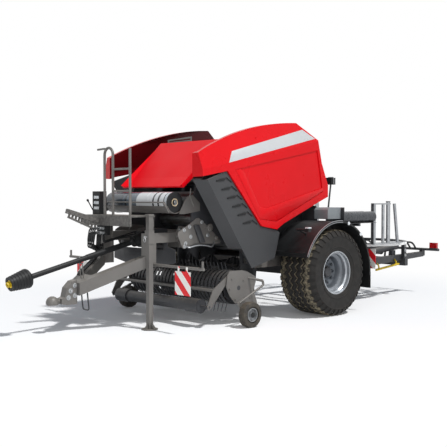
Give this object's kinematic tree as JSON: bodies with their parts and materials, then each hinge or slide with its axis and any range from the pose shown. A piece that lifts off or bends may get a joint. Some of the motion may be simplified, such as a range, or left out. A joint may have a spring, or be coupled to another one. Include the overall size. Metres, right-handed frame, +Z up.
{
  "type": "hay baler",
  "caption": "Trailed round baler with a tined pickup, roller bale chamber under gull-wing side doors, drawbar, parking jack and a ring-type bale wrapper behind.",
  "frame": {"origin": "on the ground under the middle of the machine's length and width", "axes": "+X towards the drawbar, +Y to the machine's left, +Z up"},
  "size_m": [7.4574, 2.87, 2.624],
  "materials": {
    "red_paint": "glossy paint",
    "grey_paint": "satin paint",
    "dark_paint": "satin paint",
    "dark_plastic": "grained moulding",
    "black_plastic": "moulded",
    "yellow_paint": "gloss paint",
    "roller_steel": "worn bare steel",
    "rim_paint": "silver paint",
    "tyre": "rubber",
    "net": "wound net in a clear wrap",
    "film": "stretch film",
    "box_plastic": "moulded",
    "lamp_black": "moulded",
    "board": "white and red stripes",
    "lamp_red": "clear red lens",
    "ring_metal": "pale paint",
    "bright_metal": "drawn tube"
  },
  "bodies": {
    "chassis": {"main_frame": "grey_paint", "chamber_walls": "dark_paint", "chamber_rollers": "roller_steel", "axle_beam": "dark_paint", "drawbar": "grey_paint", "tow_coupling": "grey_paint", "gearbox": "dark_paint", "pto_guard": "black_plastic", "pto_yoke": "yellow_paint", "platform": "grey_paint", "ladder_rail": "grey_paint", "control_box": "black_plastic", "net_box": "grey_paint", "net_roll": "net", "side_panels": "dark_plastic", "mudguards": "black_plastic", "film_racks": "dark_paint", "film_rolls": "film", "tool_boxes": "box_plastic", "work_lamps": "lamp_black", "warning_boards": "board", "rear_frame": "dark_paint", "tail_lamps": "lamp_red"},
    "tailgate": {"tailgate_shell": "dark_paint", "tailgate_rollers": "roller_steel"},
    "door_left": {"door_left": "red_paint"},
    "door_right": {"door_right": "red_paint"},
    "hood": {"hood": "red_paint"},
    "jack": {"jack_leg": "grey_paint"},
    "wheel_left": {"tyre_left": "tyre", "rim_left": "rim_paint"},
    "wheel_right": {"tyre_right": "tyre", "rim_right": "rim_paint"},
    "pickup": {"pickup_frame": "grey_paint", "pickup_strips": "dark_paint"},
    "reel": {"pickup_reel": "dark_paint"},
    "crop_guard": {"crop_guard": "grey_paint"},
    "crop_roller": {"crop_roller": "dark_paint"},
    "gauge_wheel_left": {"gauge_tyre_left": "tyre", "gauge_rim_left": "rim_paint"},
    "gauge_wheel_right": {"gauge_tyre_right": "tyre", "gauge_rim_right": "rim_paint"},
    "rotor": {"rotor": "dark_paint"},
    "wrapping_ring": {"wrap_ring": "ring_metal", "film_dispensers": "bright_metal"},
    "wrapping_table": {"wrap_table": "dark_paint"}
  },
  "joints": [
    {"name": "wheel_left_spin", "type": "hinge", "parent": "chassis", "child": "wheel_left", "pos_m": [-0.42874, 1.135, 0.59], "axis": [0, 1, 0], "continuous": true},
    {"name": "wheel_right_spin", "type": "hinge", "parent": "chassis", "child": "wheel_right", "pos_m": [-0.42874, -1.135, 0.59], "axis": [0, 1, 0], "continuous": true},
    {"name": "jack_slide", "type": "slide", "parent": "chassis", "child": "jack", "axis": [0, 0, 1], "range_m": [0, 0.35]},
    {"name": "tailgate_lift", "type": "hinge", "parent": "chassis", "child": "tailgate", "pos_m": [0.33126, 0, 2.3], "axis": [0, 1, 0], "range_deg": [0, 55]},
    {"name": "door_left_lift", "type": "hinge", "parent": "chassis", "child": "door_left", "pos_m": [0.37126, 0.85, 2.38], "axis": [1, 0, 0], "range_deg": [0, 70]},
    {"name": "door_right_lift", "type": "hinge", "parent": "chassis", "child": "door_right", "pos_m": [0.37126, -0.85, 2.38], "axis": [-1, 0, 0], "range_deg": [0, 70]},
    {"name": "hood_lift", "type": "hinge", "parent": "chassis", "child": "hood", "pos_m": [0.90126, 0, 2.3], "axis": [0, -1, 0], "range_deg": [0, 45]},
    {"name": "pickup_lift", "type": "hinge", "parent": "chassis", "child": "pickup", "pos_m": [0.63126, 0, 0.59], "axis": [0, -1, 0], "range_deg": [0, 18]},
    {"name": "reel_spin", "type": "hinge", "parent": "pickup", "child": "reel", "pos_m": [1.07126, 0, 0.47], "axis": [0, -1, 0], "continuous": true},
    {"name": "crop_guard_swing", "type": "hinge", "parent": "pickup", "child": "crop_guard", "pos_m": [1.19126, 0, 0.64], "axis": [0, -1, 0], "range_deg": [0, 30]},
    {"name": "crop_roller_spin", "type": "hinge", "parent": "crop_guard", "child": "crop_roller", "pos_m": [1.55126, 0, 0.265], "axis": [0, 1, 0], "continuous": true},
    {"name": "gauge_left_spin", "type": "hinge", "parent": "pickup", "child": "gauge_wheel_left", "pos_m": [1.10126, 1.254, 0.16], "axis": [0, 1, 0], "continuous": true},
    {"name": "gauge_right_spin", "type": "hinge", "parent": "pickup", "child": "gauge_wheel_right", "pos_m": [1.10126, -1.254, 0.16], "axis": [0, 1, 0], "continuous": true},
    {"name": "rotor_spin", "type": "hinge", "parent": "chassis", "child": "rotor", "pos_m": [0.50126, 0, 0.62], "axis": [0, -1, 0], "continuous": true},
    {"name": "ring_spin", "type": "hinge", "parent": "chassis", "child": "wrapping_ring", "pos_m": [-2.32874, 0, 0.89], "axis": [0, 0, 1], "continuous": true},
    {"name": "table_tip", "type": "hinge", "parent": "chassis", "child": "wrapping_table", "pos_m": [-2.87874, 0, 0.69], "axis": [0, -1, 0], "range_deg": [0, 30]}
  ]
}
